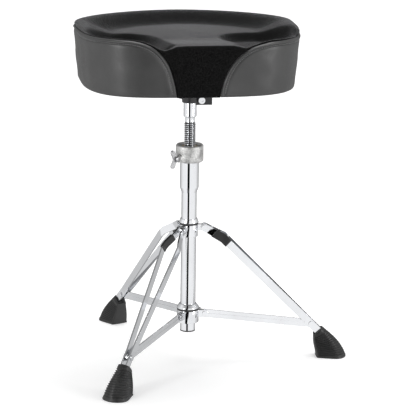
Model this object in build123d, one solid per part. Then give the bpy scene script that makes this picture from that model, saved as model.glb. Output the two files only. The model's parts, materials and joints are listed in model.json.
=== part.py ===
from build123d import *
import math
import os

# Drum throne: saddle seat on a screw spindle, carried by a column with three folding double-bar legs.
# Millimetres, +Z up, origin on the floor under the column's axis.

# Column
TUBE_R = 15.0
TUBE_WALL = 1.5
TUBE_BOTTOM_Z = 57.0
SWAGE_Z = 337.0
SWAGE_LENGTH = 9.5
WIDE_R = 18.5
WIDE_WALL = 1.8
COLLAR_Z = 398.6
COLLAR_HEIGHT = 33.2
COLLAR_R = 27.0
COLLAR_TOP_Z = COLLAR_Z + COLLAR_HEIGHT
INSERT_R = 15.0

# Spindle
THREAD_R = 11.6
THREAD_PITCH = 4.0
THREAD_DEPTH = 1.3
NECK_R = 9.2
POST_R = 12.7
SPINDLE_BOTTOM_Z = 214.0
THREAD_TOP_Z = 475.5
POST_BOTTOM_Z = 487.5
POST_TOP_Z = 549.0

# Hubs and legs, in the vertical plane of a leg: radius from the axis, height
LEG_AZIMUTHS = (3.3, 123.3, 243.3)
HIP = (31.0, 265.7)
KNEE = (68.3, 245.7)
BRACE_PIN = (246.1, 67.2)
BAR_END = (281.0, 32.2)
HUB_PIN = (33.0, 89.8)
BAR_WIDTH = 15.0
BAR_THICK = 3.0
HIP_SPREAD = 5.8
KNEE_SPREAD = 16.5
FOOT_SPREAD = 5.2
KNEE_ALONG = 50.0
BRACE_WIDTH = 16.0
BRACE_THICK = 3.0
RIVET_R = 3.0
HUB_RIVET_R = 2.5

# Seat
SEAT_TURN = 8.0
SEAT_SHIFT = -6.5
SEAT_BOTTOM_Z = 554.0
SEAT_RIM_Z = 665.0
SEAT_FLARE = 8.0
HALF_WIDTH = 205.3
FRONT_REACH = 222.0
BACK_REACH = 137.0
WIDEST_Y = 60.0
FRONT_POWER = 3.6
BACK_POWER = 1.75
SKIN = 2.4
BOARD_Z = 557.0
BOARD_THICK = 12.0
PLATE_THICK = 3.0
PLATE_TOP_Z = BOARD_Z - 0.05

FIT = 0.05


def rod(radius, z0, z1, at=(0, 0)):
    return Pos(at[0], at[1], (z0 + z1) / 2) * Cylinder(radius, z1 - z0)


def ring(outer, inner, z0, z1, at=(0, 0)):
    return rod(outer, z0, z1, at) - rod(inner, z0 - 1, z1 + 1, at)


def turned(points):
    """A solid of revolution about Z from radius, height points."""
    profile = make_face(Plane.XZ * Polyline(*points, close=True))
    return revolve(profile, Axis.Z)


def crossbar(radius, y0, y1, at):
    """A round bar along Y between y0 and y1, at radius and height `at`."""
    return Pos(at[0], (y0 + y1) / 2, at[1]) * Rot(90, 0, 0) * Cylinder(radius, abs(y1 - y0))


def radial_rod(radius, r0, r1, z):
    return Pos((r0 + r1) / 2, 0, z) * Rot(0, 90, 0) * Cylinder(radius, r1 - r0)


def block(x0, x1, y0, y1, z0, z1):
    centre = Pos((x0 + x1) / 2, (y0 + y1) / 2, (z0 + z1) / 2)
    return centre * Box(x1 - x0, y1 - y0, z1 - z0)


def upright(face, y0, y1):
    """Extrude a face drawn in X and Z between y0 and y1."""
    return Pos(0, y1, 0) * extrude(face, y1 - y0)


def both_sides(solid):
    return [solid, mirror(solid, Plane.XZ)]


# ---- column ----

def column_tube():
    top = COLLAR_Z + 19.4
    swage_top = SWAGE_Z + SWAGE_LENGTH
    outer = [(TUBE_R, TUBE_BOTTOM_Z), (TUBE_R, SWAGE_Z), (WIDE_R, swage_top), (WIDE_R, top)]
    wide_bore = WIDE_R - WIDE_WALL
    tube_bore = TUBE_R - TUBE_WALL
    inner = [(wide_bore, top), (wide_bore, swage_top), (tube_bore, SWAGE_Z), (tube_bore, TUBE_BOTTOM_Z)]
    return turned(outer + inner)


def tube_end_cap():
    flange = rod(TUBE_R, TUBE_BOTTOM_Z - 2.5, TUBE_BOTTOM_Z)
    plug = rod(TUBE_R - TUBE_WALL - FIT, TUBE_BOTTOM_Z, TUBE_BOTTOM_Z + 14)
    return flange + plug - rod(4.0, TUBE_BOTTOM_Z - 3, TUBE_BOTTOM_Z + 15)


COLLAR_BOLT_Z = COLLAR_Z + 9.0
COLLAR_BOLT_AZIMUTH = 225.0


def height_collar():
    lip = 2.0
    bore = INSERT_R + FIT
    socket_top = COLLAR_Z + 19.4 + FIT
    points = [
        (WIDE_R + FIT, COLLAR_Z), (COLLAR_R - lip, COLLAR_Z), (COLLAR_R, COLLAR_Z + lip),
        (COLLAR_R, COLLAR_TOP_Z - lip), (COLLAR_R - lip, COLLAR_TOP_Z), (COLLAR_R - 4, COLLAR_TOP_Z),
        (COLLAR_R - 6, COLLAR_TOP_Z - 4), (bore, COLLAR_TOP_Z - 4), (bore, socket_top),
        (WIDE_R + FIT, socket_top),
    ]
    boss = radial_rod(8.0, COLLAR_R - 3, COLLAR_R + 4.5, COLLAR_BOLT_Z)
    hole = radial_rod(4.0 + FIT, THREAD_R, COLLAR_R + 6, COLLAR_BOLT_Z)
    return turned(points) + Rot(0, 0, COLLAR_BOLT_AZIMUTH) * (boss - rod(WIDE_R + FIT, 390, 430)) \
        - Rot(0, 0, COLLAR_BOLT_AZIMUTH) * hole


def thread_insert():
    z0 = COLLAR_Z + 14
    return ring(INSERT_R, THREAD_R + FIT, z0, COLLAR_TOP_Z - 3.5)


def wing(reach, spread, width, thick):
    """A pair of wings in the X and Y plane, from the bolt's shoulder at x = 0."""
    one = SlotCenterToCenter(math.hypot(reach, spread), width)
    angle = math.degrees(math.atan2(spread, reach))
    face = Pos(reach / 2, spread / 2) * Rot(0, 0, angle) * one
    half = Pos(0, 0, -thick / 2) * extrude(face, thick)
    return half + mirror(half, Plane.XZ)


def wing_bolt(tip_r, shoulder_r, shank_r, reach, spread, width, thick, z):
    """A wing bolt along +X; its wings lie in the X and Y plane."""
    shank = radial_rod(shank_r, tip_r, shoulder_r + 1, z)
    shoulder = radial_rod(shank_r + 2.2, shoulder_r, shoulder_r + 9, z)
    wings = Pos(shoulder_r + 6.5, 0, z) * wing(reach, spread, width, thick)
    return shank + shoulder + wings


def collar_wing_bolt():
    bolt = wing_bolt(WIDE_R + 0.5, COLLAR_R + 4.8, 4.0, 7.5, 13.5, 9.0, 4.0, 0)
    upright_wings = Pos(0, 0, COLLAR_BOLT_Z) * Rot(90, 0, 0) * bolt
    return Rot(0, 0, COLLAR_BOLT_AZIMUTH) * upright_wings


# ---- spindle ----

def spindle():
    """Screw thread drawn as closed rings of the same pitch, then neck and seat post."""
    root = THREAD_R - THREAD_DEPTH
    quarter = THREAD_PITCH / 4
    points = [(0, SPINDLE_BOTTOM_Z), (root, SPINDLE_BOTTOM_Z)]
    z = SPINDLE_BOTTOM_Z + 2 * quarter
    while z + THREAD_PITCH <= THREAD_TOP_Z:
        points += [(root, z), (THREAD_R, z + quarter), (THREAD_R, z + 1.6 * quarter), (root, z + 2.6 * quarter)]
        z += THREAD_PITCH
    points += [
        (NECK_R, THREAD_TOP_Z), (NECK_R, POST_BOTTOM_Z - 1), (POST_R - 1, POST_BOTTOM_Z - 1),
        (POST_R, POST_BOTTOM_Z), (POST_R, POST_TOP_Z - 1), (POST_R - 1, POST_TOP_Z), (0, POST_TOP_Z),
    ]
    return turned(points) - rod(2.55, SPINDLE_BOTTOM_Z - 1, SPINDLE_BOTTOM_Z + 20)


GUIDE_Z = SPINDLE_BOTTOM_Z - 14.0


def spindle_guide():
    return ring(TUBE_R - TUBE_WALL - 0.08, 3.0, GUIDE_Z, SPINDLE_BOTTOM_Z - 0.3)


def guide_screw():
    head = rod(5.0, GUIDE_Z - 4.0, GUIDE_Z - 0.05)
    shank = rod(2.5, GUIDE_Z - 1.0, SPINDLE_BOTTOM_Z + 16)
    return head + shank


# ---- hubs ----

UPPER_R = 18.0
UPPER_Z = 248.6
UPPER_BODY = 23.4
LOWER_R = 21.5
LOWER_Z = 73.3
LOWER_BODY = 24.5
BUSH_FLANGE = 4.0
CAP_HEIGHT = 8.0
LOWER_BOLT_AZIMUTH = 49.0


def ear(face_r, pin, end_r, y0, y1):
    """A hub ear from the hub's wall to a rounded end about the pin."""
    arm = block(face_r, pin[0], y0, y1, pin[1] - end_r, pin[1] + end_r)
    return arm + crossbar(end_r, y0, y1, pin)


def upper_hub():
    ears = []
    for azimuth in LEG_AZIMUTHS:
        tab = ear(UPPER_R - 1.5, HIP, 6.2, -4.0, 4.0)
        hole = crossbar(RIVET_R + 0.08, -10, 10, HIP)
        ears.append(Rot(0, 0, azimuth) * (tab - hole))
    body = rod(UPPER_R, UPPER_Z, UPPER_Z + UPPER_BODY)
    screw_hole = Rot(0, 0, 63.3) * radial_rod(2.5 + FIT, 10, UPPER_R + 2, UPPER_Z + 8)
    return body + ears - rod(TUBE_R + FIT, UPPER_Z - 1, UPPER_Z + 40) - screw_hole


def hub_bush(radius, z):
    """The dark plastic ring between hub and cap."""
    return ring(radius, TUBE_R + FIT, z, z + BUSH_FLANGE)


def hub_cap(z, foot_r, top_r, height):
    bore = TUBE_R + FIT
    return turned([(bore, z), (foot_r, z), (foot_r, z + 1.6), (top_r, z + height), (bore, z + height)])


def upper_set_screw():
    return Rot(0, 0, 63.3) * radial_rod(2.5, TUBE_R + 0.1, UPPER_R - 0.4, UPPER_Z + 8)


def lower_hub():
    tabs = []
    for azimuth in LEG_AZIMUTHS:
        pair = both_sides(ear(LOWER_R - 2.0, HUB_PIN, 7.0, 2.0, 5.0))
        hole = crossbar(HUB_RIVET_R + 0.02, -10, 10, HUB_PIN)
        tabs += [Rot(0, 0, azimuth) * (tab - hole) for tab in pair]
    body = rod(LOWER_R, LOWER_Z, LOWER_Z + LOWER_BODY)
    boss = radial_rod(6.5, LOWER_R - 2, LOWER_R + 5, LOWER_BOLT_Z)
    hole = radial_rod(3.5 + FIT, 10, LOWER_R + 8, LOWER_BOLT_Z)
    turn = Rot(0, 0, LOWER_BOLT_AZIMUTH)
    bore = rod(LOWER_BORE_R, LOWER_Z - 1, LOWER_Z + 40)
    return body + tabs + turn * boss - turn * hole - bore


LOWER_BOLT_Z = LOWER_Z + 15.5
LOWER_BORE_R = 17.5


def lower_bush():
    """A plastic sleeve that slides on the tube, with a flange over the hub."""
    z = LOWER_Z + LOWER_BODY
    sleeve = ring(LOWER_BORE_R - FIT, TUBE_R + 0.06, LOWER_Z + 1, z)
    flange = ring(LOWER_R, TUBE_R + 0.06, z, z + BUSH_FLANGE)
    hole = Rot(0, 0, LOWER_BOLT_AZIMUTH) * radial_rod(3.5 + FIT, 10, LOWER_BORE_R + 1, LOWER_BOLT_Z)
    return sleeve + flange - hole


def lower_wing_bolt():
    bolt = wing_bolt(TUBE_R + 0.3, LOWER_R + 5.3, 3.5, 9.0, 12.0, 7.0, 3.0, LOWER_BOLT_Z)
    return Rot(0, 0, LOWER_BOLT_AZIMUTH) * bolt


# ---- legs: each is drawn along +X, then turned to its azimuth ----

LEG_ALONG = (BRACE_PIN[0] - HIP[0], BRACE_PIN[1] - HIP[1])
LEG_LENGTH = math.hypot(*LEG_ALONG)
ALONG = (LEG_ALONG[0] / LEG_LENGTH, LEG_ALONG[1] / LEG_LENGTH)
LEG_PLANE = Plane(
    origin=(HIP[0], 0, HIP[1]),
    x_dir=(ALONG[0], 0, ALONG[1]),
    z_dir=(-ALONG[1], 0, ALONG[0]),
)


def strip_between(p, q, width):
    """A flat strip with round ends in the X and Z plane, as a face."""
    length = math.hypot(q[0] - p[0], q[1] - p[1])
    angle = math.degrees(math.atan2(q[1] - p[1], q[0] - p[0]))
    place = Pos((p[0] + q[0]) / 2, (p[1] + q[1]) / 2) * Rot(0, 0, angle)
    return Plane.XZ * place * SlotCenterToCenter(length, width)


def leg_bar(grow=0.0):
    """One bar on the +Y side: bent down at the knee and bowed sideways."""
    width = BAR_WIDTH + 2 * grow
    thick = BAR_THICK / 2 + grow
    upper = upright(strip_between(HIP, KNEE, width), -1, 30)
    lower = upright(strip_between(KNEE, BAR_END, width), -1, 30)
    way = [
        (-20, HIP_SPREAD), (12, HIP_SPREAD), (KNEE_ALONG, KNEE_SPREAD),
        (LEG_LENGTH - 14, FOOT_SPREAD), (LEG_LENGTH + 80, FOOT_SPREAD),
    ]
    outer = FilletPolyline(*[(u, t + thick) for u, t in way], radius=12)
    inner = FilletPolyline(*[(u, t - thick) for u, t in way], radius=12)
    edges = [outer, Line(outer @ 1, inner @ 1), inner, Line(inner @ 0, outer @ 0)]
    path = LEG_PLANE * make_face(Curve() + edges)
    sheet = extrude(path, 60, both=True)
    return (upper + lower) & sheet


def drilled_bar():
    bar = leg_bar()
    return bar - crossbar(RIVET_R + 0.02, 0, 30, HIP) - crossbar(RIVET_R + 0.02, 0, 30, BRACE_PIN)


def leg_sleeve():
    """Rubber sleeve on the -Y bar, just above the knee."""
    grip = LEG_PLANE * Pos(37.5, 0, 0) * Box(33.5, 80, 80)
    return mirror((leg_bar(1.2) & grip) - leg_bar(FIT), Plane.XZ)


def hip_rivet():
    face = HIP_SPREAD + BAR_THICK / 2 + FIT
    shank = crossbar(RIVET_R, -face, face, HIP)
    heads = both_sides(crossbar(6.0, face, face + 2.0, HIP))
    return shank + heads


def brace_rivets():
    """The rivet's two ends, one in each bar; its middle is the brace's own pin."""
    face = FOOT_SPREAD + BAR_THICK / 2 + FIT
    end = crossbar(RIVET_R, FOOT_SPREAD - BAR_THICK / 2 + 0.02, face, BRACE_PIN)
    head = crossbar(5.6, face, face + 1.8, BRACE_PIN)
    return both_sides(end + head)


def foot():
    """A rubber hoof: slim where the bars enter, fanned out at the floor."""
    outer = Spline((269, 60.4), (295, 39), (317, 9))
    base = Polyline((317, 9), (319.5, 0), (257.5, 0))
    inner = Spline((257.5, 0), (255.2, 12), (251.8, 28), (251, 44.6))
    side = Plane.XZ * make_face(Curve() + [outer, base, inner, Line((251, 44.6), (269, 60.4))])
    profile = upright(side, -30, 30)
    flank = Spline((27.5, 5), (22.8, 24), (14.6, 45), (12, 62))
    half = [Line((27.5, 0), (27.5, 5)), flank]
    other = [mirror(edge, Plane.YZ) for edge in half]
    top = Line((12, 62), (-12, 62))
    front = Plane.YZ * make_face(Curve() + half + other + [top, Line((27.5, 0), (-27.5, 0))])
    flare = Spline((240, 15), (262, 19), (285, 25.5), (303, 27.2))
    nose = Spline((303, 27.2), (315, 16.5), (319.5, 0), (315, -16.5), (303, -27.2))
    heel = Line((240, -15), (240, 15))
    plan = extrude(make_face(Curve() + [flare, nose, mirror(flare, Plane.XZ), heel]), 70)
    solid = profile & Pos(240, 0, 0) * extrude(front, 90) & Pos(0, 0, -1) * plan
    bar = leg_bar(FIT)
    slot = LEG_PLANE * Pos(LEG_LENGTH + 15, 0, 0) * Box(48, 2 * FOOT_SPREAD - BAR_THICK, 60)
    return solid - bar - mirror(bar, Plane.XZ) - slot


def brace_bar():
    strip = upright(strip_between(HUB_PIN, BRACE_PIN, BRACE_WIDTH), -BRACE_THICK / 2, BRACE_THICK / 2)
    hub_hole = crossbar(HUB_RIVET_R + 0.08, -5, 5, HUB_PIN)
    return strip - hub_hole - crossbar(RIVET_R + 0.02, -5, 5, BRACE_PIN)


def brace_pin():
    """The rivet's middle, with a shoulder each side of the brace."""
    shoulder = crossbar(6.5, BRACE_THICK / 2 + FIT, 3.4, BRACE_PIN)
    return crossbar(RIVET_R, -3.4, 3.4, BRACE_PIN) + both_sides(shoulder)


def hub_rivet():
    shank = crossbar(HUB_RIVET_R, -5.05, 5.05, HUB_PIN)
    return shank + both_sides(crossbar(4.4, 5.05, 6.6, HUB_PIN))


# ---- seat: drawn with its nose along -Y, then turned ----

def outline(grow, z, count=20):
    """The seat's plan: a wide flat-fronted egg, from two half super-ellipses."""
    points = []
    for i in range(count):
        angle = 2 * math.pi * i / count
        c, s = math.cos(angle), math.sin(angle)
        power = BACK_POWER if s > 0 else FRONT_POWER
        depth = (BACK_REACH if s > 0 else FRONT_REACH) + grow
        reach = (abs(c) ** power + abs(s) ** power) ** (-1 / power)
        points.append(((HALF_WIDTH + grow) * reach * c, WIDEST_Y + depth * reach * s))
    return Pos(0, 0, z) * make_face(Spline(*points, periodic=True))


def wall(inset, z0, z1):
    """The seat's flared wall between two heights, shrunk by inset."""
    slope = SEAT_FLARE / (SEAT_RIM_Z - SEAT_BOTTOM_Z)
    sections = [outline((z - SEAT_BOTTOM_Z) * slope - inset, z) for z in (z0, z1)]
    return loft(sections, ruled=True)


def cushion(inset):
    """The whole upholstered shape, with its dished top, shrunk by inset."""
    body = wall(inset, SEAT_BOTTOM_Z, SEAT_RIM_Z - inset)
    dish = loft([outline(inset - 67, SEAT_RIM_Z - 23 - inset), outline(inset - 1, SEAT_RIM_Z + 1)])
    notch = block(-105 - inset, 105 + inset, -200, -60, SEAT_RIM_Z - 15 - inset, SEAT_RIM_Z + 5)
    return body - dish - notch


def front_flap():
    """Where the top cover runs down the front, between the two side panels."""
    left = Spline((-48, 550), (-52, 580), (-58, 605), (-71, 631), (-99, 655), (-128, 664))
    right = Spline((34, 550), (41, 589), (54, 613), (78, 639), (109, 655), (140, 664))
    lines = [left, Line((-128, 664), (140, 664)), right, Line((34, 550), (-48, 550))]
    return upright(Plane.XZ * make_face(Curve() + lines), -220, -60)


def covers():
    """The top cover and the left and right side panels, as one skin cut up."""
    skin = cushion(0) - cushion(SKIN)
    core = wall(SKIN + 0.3, SEAT_BOTTOM_Z - 2, SEAT_RIM_Z)
    wall_zone = block(-250, 250, -250, 250, SEAT_BOTTOM_Z - 1, SEAT_RIM_Z - 6) - core - front_flap()
    sides = skin & wall_zone
    top = skin - wall_zone
    left = sides & block(-250, 0, -250, 250, 500, 700)
    right = sides & block(0, 250, -250, 250, 500, 700)
    return top, left, right


def seat_foam():
    below = block(-250, 250, -250, 250, 540, BOARD_Z + BOARD_THICK + 0.3)
    return cushion(SKIN + 0.2) - below


SCREW_PLACES = [(-42, -28), (42, -28), (-42, 28), (42, 28)]
PLATE_X = 56.0
PLATE_Y = 41.0


def seat_board():
    low = outline(-SKIN - 3, BOARD_Z)
    board = extrude(low, BOARD_THICK)
    top = BOARD_Z + BOARD_THICK
    for at in SCREW_PLACES:
        board -= rod(5.05, BOARD_Z - 1, top + 1, axis_place(at))
        board -= rod(9.6, top - 1.8, top + 1, axis_place(at))
    return board


def axis_place(at):
    """Places under the seat are measured from the column's axis."""
    return (at[0] - SEAT_SHIFT, at[1])


def tee_nuts():
    top = BOARD_Z + BOARD_THICK
    nuts = []
    for at in SCREW_PLACES:
        place = axis_place(at)
        flange = rod(9.5, top - 1.7, top - 0.1, place)
        barrel = rod(5.0, BOARD_Z + 3, top - 1.7, place)
        nuts.append(flange + barrel - rod(3.05, BOARD_Z, top + 1, place))
    return nuts


def bracket_screws():
    screws = []
    for at in SCREW_PLACES:
        place = axis_place(at)
        low = PLATE_TOP_Z - PLATE_THICK
        screws.append(rod(6.0, low - 3.0, low - 0.05, place) + rod(3.0, low - 1, BOARD_Z + BOARD_THICK - 2, place))
    return screws


def dust_cover():
    sheet = extrude(outline(-SKIN - 6, BOARD_Z - 1.6), 1.5)
    hole = block(-PLATE_X - 1, PLATE_X + 1, -PLATE_Y - 1, PLATE_Y + 1, BOARD_Z - 5, BOARD_Z + 1)
    return sheet - Pos(-SEAT_SHIFT, 0, 0) * hole


SLEEVE_BOTTOM_Z = 515.0
SLEEVE_R = 16.0
CLAMP_BOLT_AT = (21.2, 519.5)


def bracket_plate():
    low = PLATE_TOP_Z - PLATE_THICK
    plate = block(-PLATE_X, PLATE_X, -PLATE_Y, PLATE_Y, low, PLATE_TOP_Z)
    for x, y in SCREW_PLACES:
        plate -= rod(3.1, low - 1, BOARD_Z + 1, (x, y))
    rib_face = make_face(Polyline((-42, low), (-42, 528), (-16, 521), (-16, low), close=True))
    rib = upright(Plane.XZ * rib_face, -2, 2)
    return plate + rib - rod(SLEEVE_R + FIT, 500, low)


def clamp_sleeve():
    top = PLATE_TOP_Z - PLATE_THICK - FIT
    sleeve = rod(SLEEVE_R, SLEEVE_BOTTOM_Z, top)
    ears = block(10, 42, -6.5, 6.5, 510, 531)
    bore = rod(POST_R + 0.08, 500, 560)
    slit = block(5, 60, -1.5, 1.5, 500, 534)
    hole = crossbar(3.1, -10, 10, CLAMP_BOLT_AT)
    return sleeve + ears - bore - slit - hole


def clamp_bolt():
    """Hex-socket bolt along Y, its round head towards the nose."""
    head = crossbar(6.5, -12.0, -6.6, CLAMP_BOLT_AT)
    socket = Pos(CLAMP_BOLT_AT[0], -10.6, CLAMP_BOLT_AT[1]) * Rot(90, 0, 0) * extrude(RegularPolygon(2.9, 6), 4)
    return head + crossbar(3.0, -7, 15, CLAMP_BOLT_AT) - socket


def clamp_nut():
    flat = Pos(CLAMP_BOLT_AT[0], 12.2, CLAMP_BOLT_AT[1]) * Rot(90, 0, 0) * extrude(RegularPolygon(5.6, 6), 5.5)
    return flat - crossbar(3.0 + FIT, 0, 20, CLAMP_BOLT_AT)


# ---- assembly ----

def write(name, shape):
    if isinstance(shape, (list, tuple)):
        shape = Compound(children=[solid for part in shape for solid in part.solids()])
    export_step(shape, f"parts/{name}.step")


def main():
    os.makedirs("parts", exist_ok=True)

    write("column_tube", column_tube())
    write("tube_end_cap", tube_end_cap())
    write("height_collar", height_collar())
    write("thread_insert", thread_insert())
    write("collar_wing_bolt", collar_wing_bolt())

    write("spindle", spindle())
    write("spindle_guide", spindle_guide())
    write("guide_screw", guide_screw())

    upper_top = UPPER_Z + UPPER_BODY
    write("upper_hub", upper_hub())
    write("upper_hub_ring", hub_bush(UPPER_R + 0.8, upper_top))
    write("upper_hub_cap", hub_cap(upper_top + BUSH_FLANGE, UPPER_R + 1.0, TUBE_R + 1.6, CAP_HEIGHT))
    write("upper_set_screw", upper_set_screw())
    lower_top = LOWER_Z + LOWER_BODY
    write("lower_hub", lower_hub())
    write("lower_hub_bush", lower_bush())
    write("lower_hub_cap", hub_cap(lower_top + BUSH_FLANGE, LOWER_R + 0.6, TUBE_R + 2.0, CAP_HEIGHT + 1))
    write("lower_wing_bolt", lower_wing_bolt())

    bar = drilled_bar()
    leg_pieces = {
        "left_bar": bar,
        "right_bar": mirror(bar, Plane.XZ),
        "sleeve": leg_sleeve(),
        "foot": foot(),
        "hip_rivet": hip_rivet(),
        "brace_rivet": brace_rivets(),
        "brace_bar": brace_bar(),
        "brace_pin": brace_pin(),
        "hub_rivet": hub_rivet(),
    }
    for number, azimuth in enumerate(LEG_AZIMUTHS, 1):
        turn = Rot(0, 0, azimuth)
        for name, piece in leg_pieces.items():
            parts = piece if isinstance(piece, list) else [piece]
            write(f"leg{number}_{name}", [turn * part for part in parts])

    top, left, right = covers()
    seat_pieces = {
        "seat_top_cover": top,
        "seat_left_panel": left,
        "seat_right_panel": right,
        "seat_foam": seat_foam(),
        "seat_board": seat_board(),
        "seat_dust_cover": dust_cover(),
        "tee_nuts": tee_nuts(),
        "bracket_screws": bracket_screws(),
    }
    shifted = Rot(0, 0, SEAT_TURN) * Pos(SEAT_SHIFT, 0, 0)
    for name, piece in seat_pieces.items():
        parts = piece if isinstance(piece, list) else [piece]
        write(name, [shifted * part for part in parts])

    bracket_pieces = {
        "bracket_plate": bracket_plate(),
        "clamp_sleeve": clamp_sleeve(),
        "clamp_bolt": clamp_bolt(),
        "clamp_nut": clamp_nut(),
    }
    for name, piece in bracket_pieces.items():
        write(name, Rot(0, 0, SEAT_TURN) * piece)


main()
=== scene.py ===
"""The drum throne's looks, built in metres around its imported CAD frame."""
import json
import math

import bmesh
import bpy
import numpy as np
from mathutils import Euler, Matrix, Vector


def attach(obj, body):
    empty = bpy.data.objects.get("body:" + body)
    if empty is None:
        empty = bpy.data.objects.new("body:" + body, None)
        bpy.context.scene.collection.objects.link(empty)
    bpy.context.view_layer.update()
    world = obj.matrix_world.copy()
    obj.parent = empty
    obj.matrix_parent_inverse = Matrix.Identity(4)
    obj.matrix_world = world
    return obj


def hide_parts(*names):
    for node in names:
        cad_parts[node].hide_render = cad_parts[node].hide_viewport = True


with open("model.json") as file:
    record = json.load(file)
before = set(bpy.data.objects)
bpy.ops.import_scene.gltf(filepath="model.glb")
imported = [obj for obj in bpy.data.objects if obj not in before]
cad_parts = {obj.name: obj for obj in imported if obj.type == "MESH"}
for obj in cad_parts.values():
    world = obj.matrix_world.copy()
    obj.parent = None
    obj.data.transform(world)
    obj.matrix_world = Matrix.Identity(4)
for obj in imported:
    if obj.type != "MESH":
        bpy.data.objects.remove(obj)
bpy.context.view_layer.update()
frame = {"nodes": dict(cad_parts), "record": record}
MM = 0.001
MERGE_GAP = 0.00002  # metres: nearer points of a new piece become one


# ---- small helpers ----

def smoothstep(t):
    """Eases from 0 to 1, and stays there outside."""
    t = np.clip(t, 0.0, 1.0)
    return t * t * (3 - 2 * t)


def through(points, at):
    """A smooth curve through (x, y) points, without overshoot, read at the places given."""
    x, y = np.array(points, float).T
    h = np.diff(x)
    slope = np.diff(y) / h
    m = np.concatenate([[slope[0]], np.zeros(len(x) - 2), [slope[-1]]])
    for i in range(1, len(x) - 1):
        if slope[i - 1] * slope[i] > 0:
            w1 = 2 * h[i] + h[i - 1]
            w2 = h[i] + 2 * h[i - 1]
            m[i] = (w1 + w2) / (w1 / slope[i - 1] + w2 / slope[i])
    at = np.clip(np.asarray(at, float), x[0], x[-1])
    k = np.clip(np.searchsorted(x, at) - 1, 0, len(h) - 1)
    t = (at - x[k]) / h[k]
    return ((2 * t**3 - 3 * t**2 + 1) * y[k] + (t**3 - 2 * t**2 + t) * h[k] * m[k]
            + (-2 * t**3 + 3 * t**2) * y[k + 1] + (t**3 - t**2) * h[k] * m[k + 1])


def lengths_along(points):
    """The distance of each point from the first, along the line."""
    return np.concatenate([[0], np.cumsum(np.linalg.norm(np.diff(points, axis=0), axis=1))])


def new_piece(name, verts, faces, material, body, slot):
    """A smooth mesh object from millimetre points, riding on a body."""
    mesh = bpy.data.meshes.new(name)
    mesh.from_pydata([tuple(float(c) * MM for c in v) for v in verts], [], faces)
    bm = bmesh.new()
    bm.from_mesh(mesh)
    bmesh.ops.remove_doubles(bm, verts=bm.verts, dist=MERGE_GAP)
    bmesh.ops.recalc_face_normals(bm, faces=bm.faces)
    for face in bm.faces:
        face.smooth = True
    bm.to_mesh(mesh)
    bm.free()
    obj = bpy.data.objects.new(name, mesh)
    bpy.context.scene.collection.objects.link(obj)
    obj.data.materials.append(material)
    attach(obj, body)
    return obj


def grid_faces(rows, cols, closed=False, start=0):
    """Quads between the points of a grid stored row by row."""
    faces = []
    for r in range(rows - 1):
        for c in range(cols if closed else cols - 1):
            d = (c + 1) % cols
            faces.append((start + r * cols + c, start + r * cols + d,
                          start + (r + 1) * cols + d, start + (r + 1) * cols + c))
    return faces


ROD_SIDES = 8
ROD_PROFILE = [(-0.5, 0.0), (-0.46, 0.6), (-0.36, 1.0), (0.36, 1.0), (0.46, 0.6), (0.5, 0.0)]
ROD_TIP = 0.01  # millimetres: the ends' least radius


def capsules(places, length, radius):
    """Small round-ended rods: places are (centre, direction, up) in millimetres."""
    verts, faces = [], []
    for centre, along, up in places:
        along = along / np.linalg.norm(along)
        side = np.cross(along, up)
        side = side / np.linalg.norm(side)
        up = np.cross(side, along)
        base = len(verts)
        for t, r in ROD_PROFILE:
            for k in range(ROD_SIDES):
                a = 2 * math.pi * k / ROD_SIDES
                ring = side * math.cos(a) + up * math.sin(a)
                verts.append(centre + along * t * length + ring * max(r * radius, ROD_TIP))
        faces += grid_faces(len(ROD_PROFILE), ROD_SIDES, True, base)
        faces.append([base + k for k in range(ROD_SIDES)][::-1])
        last = base + ROD_SIDES * (len(ROD_PROFILE) - 1)
        faces.append([last + k for k in range(ROD_SIDES)])
    return verts, faces


# ---- materials ----

def material(name, colour, metallic, roughness, **sockets):
    """A principled material; returns it with its node tree and shader."""
    mat = bpy.data.materials.new(name)
    mat.use_nodes = True
    tree = mat.node_tree
    shader = tree.nodes["Principled BSDF"]
    shader.inputs["Base Color"].default_value = (*colour, 1)
    shader.inputs["Metallic"].default_value = metallic
    shader.inputs["Roughness"].default_value = roughness
    for key, value in sockets.items():
        shader.inputs[key.replace("_", " ")].default_value = value
    return mat, tree, shader


def texture(tree, kind, scale, detail=2.0, stretch=None, **sockets):
    """A procedural texture in the object's own coordinates; returns its node."""
    coords = tree.nodes.new("ShaderNodeTexCoord")
    node = tree.nodes.new(kind)
    source = coords.outputs["Object"]
    if stretch:
        mapping = tree.nodes.new("ShaderNodeMapping")
        mapping.inputs["Scale"].default_value = stretch
        tree.links.new(source, mapping.inputs["Vector"])
        source = mapping.outputs["Vector"]
    tree.links.new(source, node.inputs["Vector"])
    node.inputs["Scale"].default_value = scale
    if "Detail" in node.inputs:
        node.inputs["Detail"].default_value = detail
    for key, value in sockets.items():
        node.inputs[key.replace("_", " ")].default_value = value
    return node


def spread(tree, value, low, high, start=0.3, end=0.7):
    """Maps a texture's value between two numbers."""
    node = tree.nodes.new("ShaderNodeMapRange")
    node.inputs["From Min"].default_value = start
    node.inputs["From Max"].default_value = end
    node.inputs["To Min"].default_value = low
    node.inputs["To Max"].default_value = high
    tree.links.new(value, node.inputs["Value"])
    return node.outputs["Result"]


def tint(tree, value, dark, light, start=0.3, end=0.7):
    """Maps a texture's value between two colours."""
    node = tree.nodes.new("ShaderNodeValToRGB")
    node.color_ramp.elements[0].position = start
    node.color_ramp.elements[0].color = (*dark, 1)
    node.color_ramp.elements[1].position = end
    node.color_ramp.elements[1].color = (*light, 1)
    tree.links.new(value, node.inputs["Fac"])
    return node.outputs["Color"]


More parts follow.
